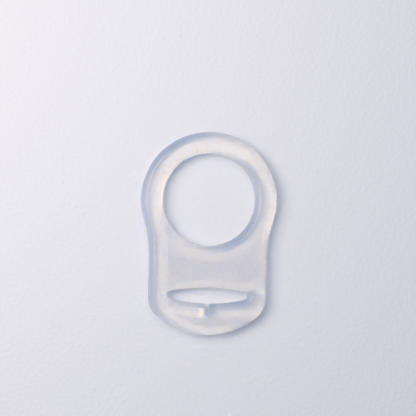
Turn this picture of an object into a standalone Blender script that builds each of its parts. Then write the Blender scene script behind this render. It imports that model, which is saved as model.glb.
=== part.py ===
"""Silicone adapter ring that joins a button soother to a holder strap: one soft moulding, with no loose pieces.

The big round hole takes the strap. The wide slot, and the notch in its lower edge, stretch over the
soother's button. The part lies flat: +Y points to the round head, +Z goes up through the thickness, and
the origin is at the centre of the footprint, on the underside.
"""

from math import asin, atan2, ceil, cos, pi, radians, sin, sqrt

import bmesh
import bpy

MM = 0.001

# Section, in millimetres: every outer edge is round, but for a narrow land at half height
THICKNESS = 3.5
EDGE_LAND = 0.2

# Head
RING_HOLE_DIAMETER = 20.4
RING_WIDTH = 4.8

# Body below the head
WEB_WIDTH = 9.3
LIP_WIDTH = 7.0
SIDE_INSET = 2.0
WAIST_RADIUS = 27.0
FOOT_END_RADIUS = 17.0
FOOT_CORNER_RADIUS = 5.5

# Button slot: two shallow arcs with rounded ends
SLOT_SIDE_WALL = 4.1
SLOT_RISE = 1.7
SLOT_DROP = 1.8
SLOT_END_RADIUS = 0.8

# Notch in the middle of the slot's lower edge, with straight walls
NOTCH_WIDTH = 1.0
NOTCH_DEPTH = 2.7

# Shallow blank panel in the upper face, on the flat between the ring hole and the slot
PANEL_LENGTH = 15.3
PANEL_DEPTH = 0.4
PANEL_CORNER_RADIUS = 0.5
PANEL_TO_HOLE_EDGE = 0.8
PANEL_TO_SLOT_EDGE = 0.4

# Smoothness of the solid, and how far a cutter stands out of what it cuts
ARC_STEP = radians(5)
EDGE_STEPS = 3
CUTTER_OVERRUN = 1.0
WELD_DISTANCE = 1e-6

# What follows from the sizes above
EDGE_RADIUS = (THICKNESS - EDGE_LAND) / 2
HEAD_RADIUS = RING_HOLE_DIAMETER / 2 + RING_WIDTH
HALF_FOOT = HEAD_RADIUS - SIDE_INSET
OVERALL_LENGTH = RING_WIDTH + RING_HOLE_DIAMETER + WEB_WIDTH + SLOT_RISE + SLOT_DROP + LIP_WIDTH
FOOT_Y = -OVERALL_LENGTH / 2
HEAD_Y = OVERALL_LENGTH / 2 - HEAD_RADIUS
HOLE_BOTTOM_Y = HEAD_Y - RING_HOLE_DIAMETER / 2
SLOT_BOTTOM_Y = FOOT_Y + LIP_WIDTH
SLOT_Y = SLOT_BOTTOM_Y + SLOT_DROP
SLOT_TOP_Y = SLOT_Y + SLOT_RISE


def arc(centre, radius, start, end):
    """Points along an arc, with both its ends; angles are in radians and may run either way round."""
    steps = max(2, ceil(abs(end - start) / ARC_STEP))
    turn = [start + (end - start) * i / steps for i in range(steps + 1)]
    return [(centre[0] + radius * cos(a), centre[1] + radius * sin(a)) for a in turn]


def mirrored(right_side):
    """A closed outline from its right half; a point on the Y axis isn't doubled."""
    left_side = [(-x, y) for x, y in reversed(right_side) if x > WELD_DISTANCE]
    return right_side + left_side


def body_outline():
    """Round head, hollow waist, straight sides, rounded corners and a shallow curved foot."""
    waist_x = HALF_FOOT + WAIST_RADIUS
    waist_drop = sqrt((HEAD_RADIUS + WAIST_RADIUS) ** 2 - waist_x**2)
    head_touch = -asin(waist_drop / (HEAD_RADIUS + WAIST_RADIUS))

    foot_arc_y = FOOT_Y + FOOT_END_RADIUS
    corner_x = HALF_FOOT - FOOT_CORNER_RADIUS
    corner_drop = sqrt((FOOT_END_RADIUS - FOOT_CORNER_RADIUS) ** 2 - corner_x**2)
    corner_touch = atan2(-corner_drop, corner_x)

    right_side = arc((0, foot_arc_y), FOOT_END_RADIUS, -pi / 2, corner_touch)
    right_side += arc((corner_x, foot_arc_y - corner_drop), FOOT_CORNER_RADIUS, corner_touch, 0)[1:]
    right_side += arc((waist_x, HEAD_Y - waist_drop), WAIST_RADIUS, pi, pi + head_touch)
    right_side += arc((0, HEAD_Y), HEAD_RADIUS, head_touch, pi / 2)[1:]
    return mirrored(right_side)


def ring_hole_outline():
    return mirrored(arc((0, HEAD_Y), RING_HOLE_DIAMETER / 2, -pi / 2, pi / 2))


def slot_outline():
    """A wide lens: each long arc runs smoothly into the two small end circles."""
    end_x = HALF_FOOT - SLOT_SIDE_WALL - SLOT_END_RADIUS

    def long_arc_radius(bulge):
        return (end_x**2 + bulge**2 - SLOT_END_RADIUS**2) / (2 * (bulge - SLOT_END_RADIUS))

    lower_radius = long_arc_radius(SLOT_DROP)
    lower_y = SLOT_BOTTOM_Y + lower_radius
    lower_touch = atan2(SLOT_Y - lower_y, end_x)
    upper_radius = long_arc_radius(SLOT_RISE)
    upper_y = SLOT_TOP_Y - upper_radius
    upper_touch = atan2(SLOT_Y - upper_y, end_x)

    right_side = arc((0, lower_y), lower_radius, -pi / 2, lower_touch)
    right_side += arc((end_x, SLOT_Y), SLOT_END_RADIUS, lower_touch, upper_touch)[1:]
    right_side += arc((0, upper_y), upper_radius, upper_touch, pi / 2)[1:]
    return mirrored(right_side)


def notch_outline():
    """Runs down from the middle of the slot to a round end."""
    half = NOTCH_WIDTH / 2
    end_y = SLOT_BOTTOM_Y - NOTCH_DEPTH + half
    return mirrored(arc((0, end_y), half, -pi / 2, 0) + [(half, SLOT_Y)])


def panel_outline():
    """A rounded rectangle on the flat that the two rounded edges leave between them."""
    top_y = HOLE_BOTTOM_Y - EDGE_RADIUS - PANEL_TO_HOLE_EDGE
    bottom_y = SLOT_TOP_Y + EDGE_RADIUS + PANEL_TO_SLOT_EDGE
    corner_x = PANEL_LENGTH / 2 - PANEL_CORNER_RADIUS
    lower_corner = arc((corner_x, bottom_y + PANEL_CORNER_RADIUS), PANEL_CORNER_RADIUS, -pi / 2, 0)
    upper_corner = arc((corner_x, top_y - PANEL_CORNER_RADIUS), PANEL_CORNER_RADIUS, 0, pi / 2)
    return mirrored(lower_corner + upper_corner)


def new_collection(name):
    made = bpy.data.collections.new(name)
    bpy.context.scene.collection.children.link(made)
    return made


def new_material(name, colour, roughness, metallic):
    made = bpy.data.materials.new(name)
    made.use_nodes = True
    shader = made.node_tree.nodes["Principled BSDF"]
    shader.inputs["Base Color"].default_value = (*colour, 1.0)
    shader.inputs["Roughness"].default_value = roughness
    shader.inputs["Metallic"].default_value = metallic
    return made


def flat_solid(name, into, outlines, low, high, edge_radius=0.0):
    """The area between closed outlines as a mesh solid from low to high, its edges rounded inwards."""
    data = bpy.data.curves.new(name, "CURVE")
    data.dimensions = "2D"
    data.fill_mode = "BOTH"
    data.extrude = ((high - low) / 2 - edge_radius) * MM
    data.bevel_depth = edge_radius * MM
    data.bevel_resolution = EDGE_STEPS if edge_radius else 0
    data.offset = -edge_radius * MM
    for outline in outlines:
        spline = data.splines.new("POLY")
        spline.points.add(len(outline) - 1)
        for point, (x, y) in zip(spline.points, outline):
            point.co = (x * MM, y * MM, 0.0, 1.0)
        spline.use_cyclic_u = True
    curve = bpy.data.objects.new(name, data)
    curve.location.z = (low + high) / 2 * MM
    into.objects.link(curve)
    bpy.context.view_layer.update()

    graph = bpy.context.evaluated_depsgraph_get()
    mesh = bpy.data.meshes.new_from_object(curve.evaluated_get(graph))
    shell = bmesh.new()
    shell.from_mesh(mesh)
    bmesh.ops.remove_doubles(shell, verts=shell.verts, dist=WELD_DISTANCE)
    bmesh.ops.recalc_face_normals(shell, faces=shell.faces)
    shell.to_mesh(mesh)
    shell.free()
    place = curve.matrix_world.copy()
    bpy.data.objects.remove(curve)

    solid = bpy.data.objects.new(name, mesh)
    solid.matrix_world = place
    into.objects.link(solid)
    return solid


def cut(solid, cutter):
    cutter.hide_render = True
    cutter.display_type = "WIRE"
    boolean = solid.modifiers.new(cutter.name, "BOOLEAN")
    boolean.operation = "DIFFERENCE"
    boolean.object = cutter


def build():
    for old in list(bpy.data.objects):
        bpy.data.objects.remove(old, do_unlink=True)
    parts = new_collection("adapter_ring")
    cutters = new_collection("cutters")
    silicone = new_material("milky_silicone", (0.80, 0.82, 0.85), 0.18, 0.0)

    outlines = [body_outline(), ring_hole_outline(), slot_outline()]
    ring = flat_solid("silicone_ring", parts, outlines, 0.0, THICKNESS, EDGE_RADIUS)
    ring.data.materials.append(silicone)

    panel_floor = THICKNESS - PANEL_DEPTH
    above = THICKNESS + CUTTER_OVERRUN
    cut(ring, flat_solid("notch_cutter", cutters, [notch_outline()], -CUTTER_OVERRUN, above))
    cut(ring, flat_solid("panel_cutter", cutters, [panel_outline()], panel_floor, above))
    ring.data.shade_smooth()
    ring.data.set_sharp_from_angle(angle=radians(35))


build()
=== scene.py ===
# Silicone adapter ring for a soother, lying on pale paper in soft window light.
import bpy, bmesh
from math import asin, atan2, ceil, cos, pi, radians, sin, sqrt
from mathutils import Matrix, Vector


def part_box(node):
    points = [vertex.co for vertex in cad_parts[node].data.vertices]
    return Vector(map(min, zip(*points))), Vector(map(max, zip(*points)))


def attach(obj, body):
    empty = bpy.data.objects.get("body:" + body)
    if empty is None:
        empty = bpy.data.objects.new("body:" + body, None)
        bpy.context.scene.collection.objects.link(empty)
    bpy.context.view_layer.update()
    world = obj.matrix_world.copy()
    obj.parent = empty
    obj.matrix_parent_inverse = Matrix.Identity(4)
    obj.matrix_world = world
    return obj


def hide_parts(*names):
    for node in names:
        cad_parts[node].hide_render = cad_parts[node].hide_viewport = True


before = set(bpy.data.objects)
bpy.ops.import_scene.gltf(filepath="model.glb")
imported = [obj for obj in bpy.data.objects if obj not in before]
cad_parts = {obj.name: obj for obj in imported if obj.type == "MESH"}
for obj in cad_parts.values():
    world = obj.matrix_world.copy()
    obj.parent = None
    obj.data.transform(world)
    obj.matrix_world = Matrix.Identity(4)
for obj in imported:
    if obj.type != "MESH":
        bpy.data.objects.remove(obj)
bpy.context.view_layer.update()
scene = bpy.context.scene
mm = 0.001
weldGap = 0.001 * mm


def hexToLinear(code):
    # sRGB hex, such as "E8EAEE", to the linear colour that the nodes take
    channels = [int(code[i:i + 2], 16) / 255 for i in (0, 2, 4)]
    linear = [c / 12.92 if c <= 0.04045 else ((c + 0.055) / 1.055) ** 2.4 for c in channels]
    return (*linear, 1.0)


def addNode(tree, kind, settings=None, values=None, links=None):
    # settings: the node's own properties; values: inputs set directly; links: inputs fed by other sockets
    node = tree.nodes.new(kind)
    for name, value in (settings or {}).items():
        setattr(node, name, value)
    for name, value in (values or {}).items():
        node.inputs[name].default_value = value
    for name, socket in (links or {}).items():
        tree.links.new(socket, node.inputs[name])
    return node


def newMaterial(name):
    made = bpy.data.materials.new(name)
    made.use_nodes = True
    made.node_tree.nodes.clear()
    return made, made.node_tree


def newObject(name, bm):
    mesh = bpy.data.meshes.new(name)
    bm.to_mesh(mesh)
    bm.free()
    made = bpy.data.objects.new(name, mesh)
    scene.collection.objects.link(made)
    return made


low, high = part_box("silicone_ring")
shape = {
    "ringHole": 20.4 * mm, "sideInset": 2.0 * mm, "waistRadius": 27.0 * mm,
    "footRadius": 17.0 * mm, "cornerRadius": 5.5 * mm, "lip": 7.0 * mm,
    "slotSideWall": 4.1 * mm, "slotRise": 1.7 * mm, "slotDrop": 1.8 * mm, "slotEndRadius": 0.8 * mm,
    "notchWidth": 1.0 * mm, "notchDepth": 2.7 * mm,
    "panelLength": 15.3 * mm, "panelDepth": 0.4 * mm, "panelCorner": 0.5 * mm, "panelRoll": 0.25 * mm,
    "panelToHole": 0.8 * mm, "panelToSlot": 0.4 * mm,
    "partingRidge": 0.03 * mm,       # the step where the mould's halves meet
    "edgeSteps": 12,                 # strips in the quarter round of an edge
    "flatRim": 0.2 * mm,             # last strip, level with the flat, so that its shading stays flat
    "facetLength": 0.3 * mm, "facetAngle": radians(4), "creaseAngle": radians(40),
}

headRadius = (high[0] - low[0]) / 2
halfFoot = headRadius - shape["sideInset"]
headY = high[1] - headRadius
thickness = high[2] - low[2]
middleZ = (high[2] + low[2]) / 2
edgeRadius = thickness / 2 - shape["partingRidge"]
slotBottomY = low[1] + shape["lip"]
slotY = slotBottomY + shape["slotDrop"]
slotTopY = slotY + shape["slotRise"]


def spinArc(bm, start, centre, angle):
    # one vertex swept round a centre; its steps are short along the arc and small in angle
    radius = (Vector(start) - Vector(centre)).length
    steps = max(2, ceil(abs(angle) * radius / shape["facetLength"]), ceil(abs(angle) / shape["facetAngle"]))
    first = bm.verts.new((*start, 0))
    swept = bmesh.ops.spin(bm, geom=[first], cent=(*centre, 0), axis=(0, 0, 1), angle=angle, steps=steps)
    return first, swept["geom_last"][0]


def mirrorAndWeld(bm, axis, middle=0.0):
    # the matrix carries the mirror plane to the origin
    offset = {"X": (middle, 0, 0), "Z": (0, 0, middle)}[axis]
    bmesh.ops.mirror(bm, geom=bm.verts[:] + bm.edges[:] + bm.faces[:],
                     matrix=Matrix.Translation(offset).inverted(), merge_dist=weldGap, axis=axis)
    bmesh.ops.remove_doubles(bm, verts=bm.verts, dist=weldGap)


def drawBody(bm):
    # right half of the outline: head, hollow waist, straight side, corner, shallow foot
    waistX = halfFoot + shape["waistRadius"]
    waistDrop = sqrt((headRadius + shape["waistRadius"]) ** 2 - waistX ** 2)
    waistTurn = asin(waistDrop / (headRadius + shape["waistRadius"]))
    waistY = headY - waistDrop
    footY = low[1] + shape["footRadius"]
    cornerX = halfFoot - shape["cornerRadius"]
    cornerDrop = sqrt((shape["footRadius"] - shape["cornerRadius"]) ** 2 - cornerX ** 2)
    cornerTurn = atan2(cornerDrop, cornerX)
    cornerY = footY - cornerDrop
    spinArc(bm, (0, high[1]), (0, headY), -(pi / 2 + waistTurn))
    sideTop = spinArc(bm, (halfFoot, waistY), (waistX, waistY), -waistTurn)[0]
    sideBottom = spinArc(bm, (halfFoot, cornerY), (cornerX, cornerY), -cornerTurn)[0]
    spinArc(bm, (0, low[1]), (0, footY), pi / 2 - cornerTurn)
    bm.edges.new((sideTop, sideBottom))


def longArcRadius(endX, bulge):
    # radius of the arc that touches the slot's end circle and stands out by bulge in the middle
    endRadius = shape["slotEndRadius"]
    return (endX ** 2 + bulge ** 2 - endRadius ** 2) / (2 * (bulge - endRadius))


def drawSlot(bm):
    # two long arcs, each running smoothly into the small round end
    endX = halfFoot - shape["slotSideWall"] - shape["slotEndRadius"]
    lower, upper = (longArcRadius(endX, shape[bulge]) for bulge in ("slotDrop", "slotRise"))
    lowerTurn = atan2(endX, slotBottomY + lower - slotY)
    upperTurn = atan2(endX, slotY - slotTopY + upper)
    lowerEnd = spinArc(bm, (0, slotBottomY), (0, slotBottomY + lower), lowerTurn)[1]
    spinArc(bm, (0, slotTopY), (0, slotTopY - upper), -upperTurn)
    spinArc(bm, lowerEnd.co.xy, (endX, slotY), pi - lowerTurn - upperTurn)


def fillFlat(bm, rim):
    filled = bmesh.ops.triangle_fill(bm, edges=rim, use_beauty=True, normal=(0, 0, 1))
    return [made for made in filled["geom"] if isinstance(made, bmesh.types.BMFace)]


def insetAndLift(bm, flat, inward, upward):
    # a new strip along every border of the flat, which is then filled again: an inset can fold its triangles
    bmesh.ops.inset_region(bm, faces=flat, thickness=inward, use_boundary=True, use_even_offset=True)
    bmesh.ops.translate(bm, verts=list({v for f in flat for v in f.verts}), vec=(0, 0, upward))
    inside = set(flat)
    rim = [e for e in bm.edges if len(inside.intersection(e.link_faces)) == 1]
    bmesh.ops.delete(bm, geom=flat, context="FACES")
    return fillFlat(bm, rim)


def makeRing():
    # the outline and its holes filled at half height, then insets that climb a quarter circle, then a mirror
    bm = bmesh.new()
    drawBody(bm)
    drawSlot(bm)
    mirrorAndWeld(bm, "X")
    spinArc(bm, (0, headY + shape["ringHole"] / 2), (0, headY), 2 * pi)
    bmesh.ops.remove_doubles(bm, verts=bm.verts, dist=weldGap)
    bmesh.ops.translate(bm, verts=bm.verts, vec=(0, 0, middleZ))
    flat = fillFlat(bm, bm.edges[:])
    flat = insetAndLift(bm, flat, shape["partingRidge"], shape["partingRidge"])
    for step in range(shape["edgeSteps"]):
        old, new = (radians(90 * s / shape["edgeSteps"]) for s in (step, step + 1))
        flat = insetAndLift(bm, flat, edgeRadius * (cos(old) - cos(new)), edgeRadius * (sin(new) - sin(old)))
    insetAndLift(bm, flat, shape["flatRim"], 0)
    mirrorAndWeld(bm, "Z", middleZ)
    bmesh.ops.recalc_face_normals(bm, faces=bm.faces)
    return newObject("adapter_ring", bm)


def makeNotchCutter():
    # straight walls from the slot down to a round end, three thicknesses tall
    bm = bmesh.new()
    half = shape["notchWidth"] / 2
    endY = slotBottomY - shape["notchDepth"] + half
    left, right = spinArc(bm, (-half, endY), (0, endY), pi)
    upperLeft, upperRight = (bm.verts.new((x, slotY, 0)) for x in (-half, half))
    for pair in ((left, upperLeft), (upperLeft, upperRight), (upperRight, right)):
        bm.edges.new(pair)
    floor = bmesh.ops.contextual_create(bm, geom=bm.edges[:])["faces"]
    grown = bmesh.ops.extrude_face_region(bm, geom=floor)["geom"]
    lid = [g for g in grown if isinstance(g, bmesh.types.BMVert)]
    bmesh.ops.translate(bm, verts=lid, vec=(0, 0, 3 * thickness))
    bmesh.ops.translate(bm, verts=bm.verts, vec=(0, 0, middleZ - 1.5 * thickness))
    bmesh.ops.recalc_face_normals(bm, faces=bm.faces)
    return newObject("notchCutter", bm)


def makePanelCutter():
    # a rounded block, half of it above the ring; its lower rim is rolled, as the moulding's corner is
    topY = headY - shape["ringHole"] / 2 - edgeRadius - shape["panelToHole"]
    bottomY = slotTopY + edgeRadius + shape["panelToSlot"]
    bm = bmesh.new()
    bmesh.ops.create_cube(bm, size=1)
    bmesh.ops.scale(bm, verts=bm.verts, vec=(shape["panelLength"], topY - bottomY, 4 * shape["panelDepth"]))
    upright = [e for e in bm.edges if abs((e.verts[0].co - e.verts[1].co).z) > 0]
    bmesh.ops.bevel(bm, geom=upright, offset=shape["panelCorner"], affect="EDGES",
                    segments=8, profile=0.5, material=-1)
    lowZ = min(v.co.z for v in bm.verts)
    rim = [e for e in bm.edges if all(abs(v.co.z - lowZ) < weldGap for v in e.verts)]
    bmesh.ops.bevel(bm, geom=rim, offset=shape["panelRoll"], affect="EDGES",
                    segments=5, profile=0.5, material=-1)
    bmesh.ops.translate(bm, verts=bm.verts, vec=(0, (topY + bottomY) / 2, high[2] + shape["panelDepth"]))
    bmesh.ops.recalc_face_normals(bm, faces=bm.faces)
    return newObject("panelCutter", bm)


def keepResult(piece):
    # what the modifiers give becomes the mesh itself
    evaluated = piece.evaluated_get(bpy.context.evaluated_depsgraph_get())
    finished = bpy.data.meshes.new_from_object(evaluated)
    piece.modifiers.clear()
    piece.data = finished


def cutAndShade(piece, cutters):
    # the exact solver leaves almost nothing of so fine a mesh, so the manifold one cuts
    for cutter in cutters:
        cut = piece.modifiers.new(cutter.name, "BOOLEAN")
        cut.operation = "DIFFERENCE"
        cut.solver = "MANIFOLD"
        cut.object = cutter
    keepResult(piece)
    # smooth round the edges, with normals weighted by area so that flats stay flat
    piece.data.shade_smooth()
    piece.data.set_sharp_from_angle(angle=shape["creaseAngle"])
    even = piece.modifiers.new("evenShading", "WEIGHTED_NORMAL")
    even.weight = 100
    even.keep_sharp = True
    keepResult(piece)
    for cutter in cutters:
        bpy.data.objects.remove(cutter)


print("ring: outline, round edges, notch and panel")
ring = makeRing()
cutAndShade(ring, [makeNotchCutter(), makePanelCutter()])
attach(ring, "root")
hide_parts("silicone_ring")

silicone = {
    "body": "FBFCFF", "transmission": 0.88, "ior": 1.41, "smoothest": 0.02, "roughest": 0.06,
    "hazeColour": "6CAAFF", "haze": 115.0, "tintColour": "B8E0FF", "tint": 3.0,
    "bloom": 0.08, "bloomTint": "7FC4FF", "bloomRoughness": 0.4,
    "waveSize": 1.6 * mm, "waveHeight": 0.0005 * mm, "grainSize": 0.12 * mm,
}


def makeSilicone():
    # liquid silicone rubber, injection moulded in a polished tool: clear like wet glass, with slow waves that
    # bend what is seen through it, and a fine haze that looks blue against the dark and cream against light
    made, tree = newMaterial("mouldedSiliconeRubber")
    place = addNode(tree, "ShaderNodeTexCoord").outputs["Object"]
    grain = addNode(tree, "ShaderNodeTexNoise", values={"Scale": 1 / silicone["grainSize"], "Detail": 3.0},
                    links={"Vector": place})
    roughness = addNode(tree, "ShaderNodeMapRange", values={
        "From Min": 0.3, "From Max": 0.7, "To Min": silicone["smoothest"], "To Max": silicone["roughest"]},
        links={"Value": grain.outputs["Fac"]})
    waves = addNode(tree, "ShaderNodeTexNoise", values={"Scale": 1 / silicone["waveSize"], "Detail": 1.0},
                    links={"Vector": place})
    wavy = addNode(tree, "ShaderNodeBump", values={"Distance": silicone["waveHeight"], "Strength": 1.0},
                   links={"Height": waves.outputs["Fac"]})
    shader = addNode(tree, "ShaderNodeBsdfPrincipled", values={
        "Base Color": hexToLinear(silicone["body"]), "Transmission Weight": silicone["transmission"],
        "IOR": silicone["ior"], "Sheen Weight": silicone["bloom"],
        "Sheen Roughness": silicone["bloomRoughness"], "Sheen Tint": hexToLinear(silicone["bloomTint"])},
        links={"Roughness": roughness.outputs["Result"], "Normal": wavy.outputs["Normal"]})
    haze = addNode(tree, "ShaderNodeVolumeScatter", values={
        "Color": hexToLinear(silicone["hazeColour"]), "Density": silicone["haze"]})
    tint = addNode(tree, "ShaderNodeVolumeAbsorption", values={
        "Color": hexToLinear(silicone["tintColour"]), "Density": silicone["tint"]})
    inside = addNode(tree, "ShaderNodeAddShader", links={0: haze.outputs[0], 1: tint.outputs[0]})
    addNode(tree, "ShaderNodeOutputMaterial", links={
        "Surface": shader.outputs[0], "Volume": inside.outputs[0]})
    return made


print("silicone")
ring.data.materials.clear()
ring.data.materials.append(makeSilicone())

stage = {
    "paper": "F1EFF2", "paperSize": 3.0, "paperBelow": 0.02 * mm, "paperRoughness": 0.9, "paperShine": 0.2,
    "paperGrain": 0.9 * mm, "paperRelief": 0.15 * mm,
    "ambient": 0.43, "roomColour": (0.80, 0.91, 1.08), "lightColour": (1.12, 1.035, 0.96),
    "keyTurn": 161, "keyRise": 52, "keyDistance": 0.25, "keySize": 0.15, "keyPower": 0.285,
    "fillTurn": 95, "fillRise": 60, "fillDistance": 0.20, "fillSize": 0.10, "fillPower": 0.06,
}


def makePaper():
    # uncoated paper: its pressed fibres stand up a little, which gives a faint mottle and no shine
    bm = bmesh.new()
    bmesh.ops.create_grid(bm, x_segments=1, y_segments=1, size=stage["paperSize"] / 2)
    bmesh.ops.translate(bm, verts=bm.verts, vec=(0, 0, low[2] - stage["paperBelow"]))
    paper = newObject("paper", bm)
    made, tree = newMaterial("uncoatedPaper")
    place = addNode(tree, "ShaderNodeTexCoord").outputs["Object"]
    fibres = addNode(tree, "ShaderNodeTexNoise", values={"Scale": 1 / stage["paperGrain"], "Detail": 4.0},
                     links={"Vector": place})
    relief = addNode(tree, "ShaderNodeBump", values={"Distance": stage["paperRelief"], "Strength": 1.0},
                     links={"Height": fibres.outputs["Fac"]})
    shader = addNode(tree, "ShaderNodeBsdfPrincipled", values={
        "Base Color": hexToLinear(stage["paper"]), "Roughness": stage["paperRoughness"],
        "Specular IOR Level": stage["paperShine"]},
        links={"Normal": relief.outputs["Normal"]})
    addNode(tree, "ShaderNodeOutputMaterial", links={"Surface": shader.outputs[0]})
    paper.data.materials.append(made)


def makeLight(name, turn, rise, distance, size, power):
    # turn goes anticlockwise from +X and rise up from the paper, in degrees
    lamp = bpy.data.lights.new(name, "AREA")
    lamp.size = size
    lamp.energy = power
    lamp.color = stage["lightColour"]
    made = bpy.data.objects.new(name, lamp)
    along = Vector((cos(radians(turn)), sin(radians(turn)), 0)) * cos(radians(rise))
    made.location = (along + Vector((0, 0, sin(radians(rise))))) * distance
    made.rotation_euler = (-made.location).to_track_quat("-Z", "Y").to_euler()
    scene.collection.objects.link(made)


print("paper and lights")
makePaper()
for lightName in ("key", "fill"):
    makeLight(lightName, *(stage[lightName + part] for part in ("Turn", "Rise", "Distance", "Size", "Power")))
world = bpy.data.worlds.new("room")
scene.world = world
world.use_nodes = True
background = world.node_tree.nodes["Background"]
background.inputs["Color"].default_value = (*stage["roomColour"], 1)
background.inputs["Strength"].default_value = stage["ambient"]

print("camera")
view = {"lens": 120, "film": 36, "across": 92.1 * mm, "aimX": -0.15 * mm, "aimY": 5.67 * mm, "roll": 1.2}
camera = bpy.data.objects.new("camera", bpy.data.cameras.new("camera"))
camera.data.lens = view["lens"]
camera.data.sensor_width = view["film"]
camera.location = (view["aimX"], view["aimY"], thickness / 2 + view["across"] * view["lens"] / view["film"])
camera.rotation_euler = (0, 0, radians(view["roll"]))
scene.collection.objects.link(camera)
scene.camera = camera

# clear silicone on paper is lit by the light it bends, so nothing of that light is blurred or clipped
scene.cycles.blur_glossy = 0
scene.cycles.sample_clamp_indirect = 0
scene.cycles.max_bounces = 24
scene.cycles.transmission_bounces = 24
scene.cycles.volume_bounces = 12
scene.view_settings.view_transform = "Standard"
